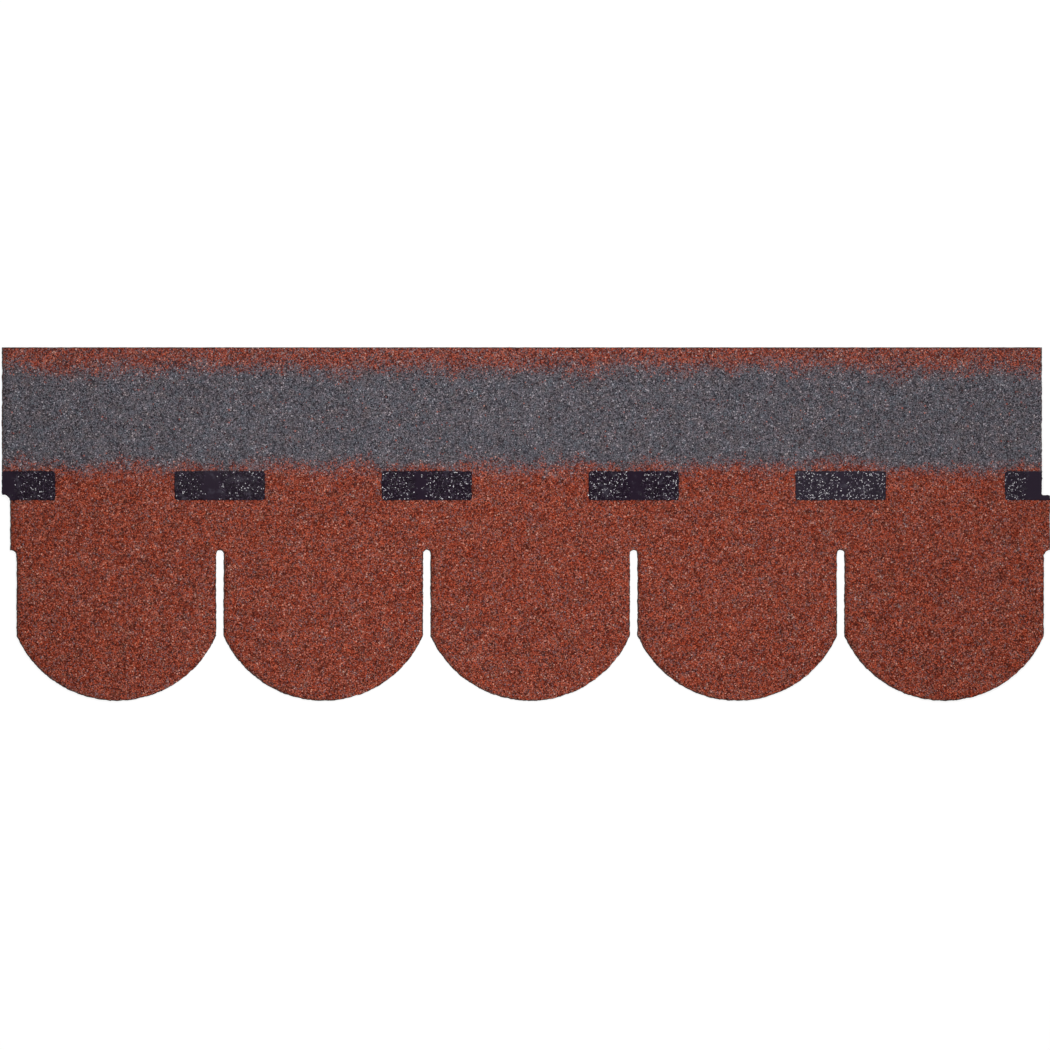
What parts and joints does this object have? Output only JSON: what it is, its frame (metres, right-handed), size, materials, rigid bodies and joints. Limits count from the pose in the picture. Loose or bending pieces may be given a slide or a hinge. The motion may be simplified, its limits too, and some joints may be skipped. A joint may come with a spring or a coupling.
{
  "type": "asphalt shingle",
  "caption": "Flat beaver-tail asphalt shingle strip: mineral-faced bitumen sheet with round-ended tabs, slots between them, stepped ends and black seal patches.",
  "frame": {"origin": "middle of the strip's box, on the plane that its back lies on", "axes": "+X along the strip, to the right seen from the face with the tabs down; +Y up the roof slope, away from the tabs; +Z out of the mineral face"},
  "size_m": [1.008, 0.34, 0.0038],
  "materials": {
    "mineral_faced_sheet": "matte",
    "seal_bitumen": "gloss"
  },
  "bodies": {
    "root": {"shingle_sheet": "mineral_faced_sheet", "seal_patch_1": "seal_bitumen", "seal_patch_2": "seal_bitumen", "seal_patch_3": "seal_bitumen", "seal_patch_4": "seal_bitumen", "seal_patch_5": "seal_bitumen", "seal_patch_6": "seal_bitumen"}
  },
  "joints": []
}
